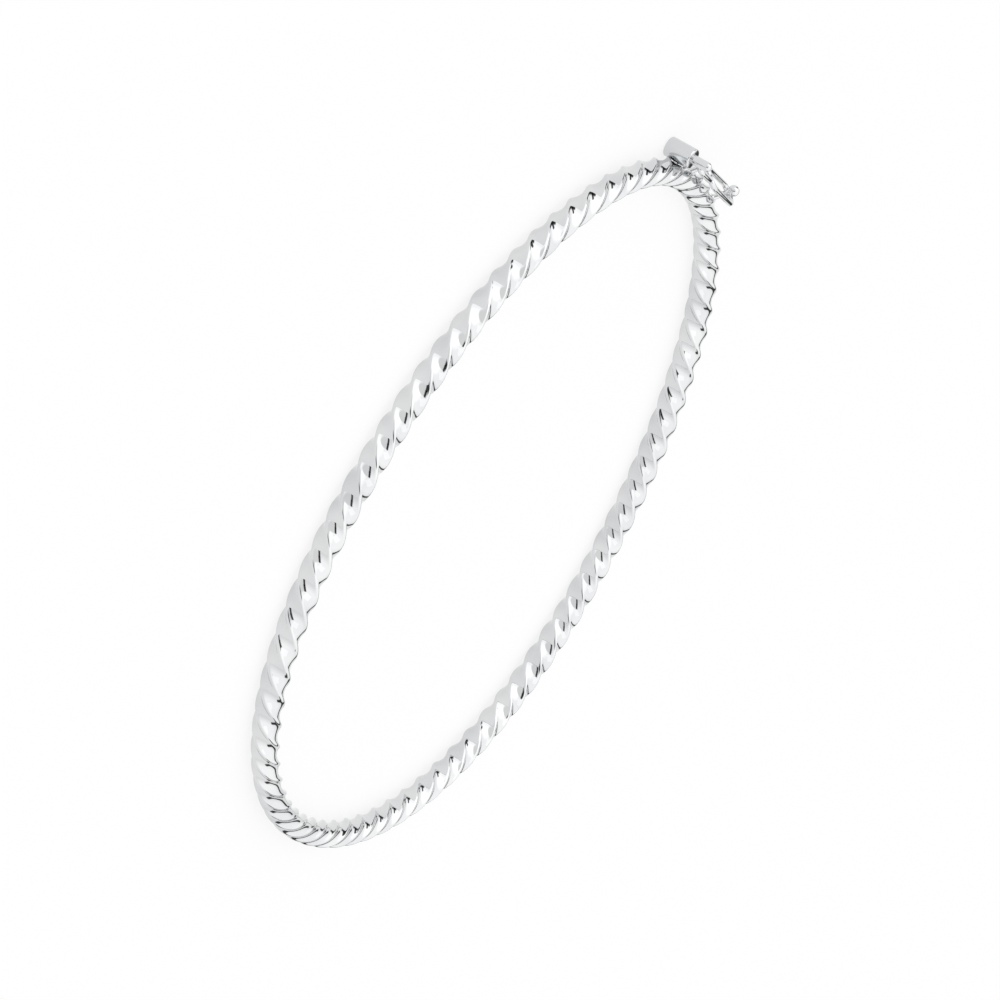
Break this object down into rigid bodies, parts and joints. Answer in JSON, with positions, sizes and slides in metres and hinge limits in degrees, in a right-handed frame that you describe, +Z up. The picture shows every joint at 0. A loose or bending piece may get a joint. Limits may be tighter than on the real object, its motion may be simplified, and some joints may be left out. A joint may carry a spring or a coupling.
{
  "type": "twisted wire bangle",
  "caption": "Oval silver bangle of one square wire, twisted left-handed, with a tongue and thumb-bar catch and a figure-eight safety loop.",
  "frame": {"origin": "centre of the oval wrist opening, on the surface that the bangle lies on", "axes": "+X along the oval's length away from the catch, +Y across it towards the ball end, +Z up, square to the hoop"},
  "size_m": [0.0667, 0.058, 0.0044],
  "materials": {
    "silver": "mirror-polished solid silver"
  },
  "bodies": {
    "bangle": {"twisted_wire": "silver", "catch_tongue": "silver"},
    "safety": {"safety_catch": "silver"}
  },
  "joints": [
    {"name": "safety_hinge", "type": "hinge", "parent": "bangle", "child": "safety", "pos_m": [-0.03293, -0.00202, 0.00251], "axis": [0.6537, -0.0553, 0.7547], "range_deg": [0, 120]}
  ]
}
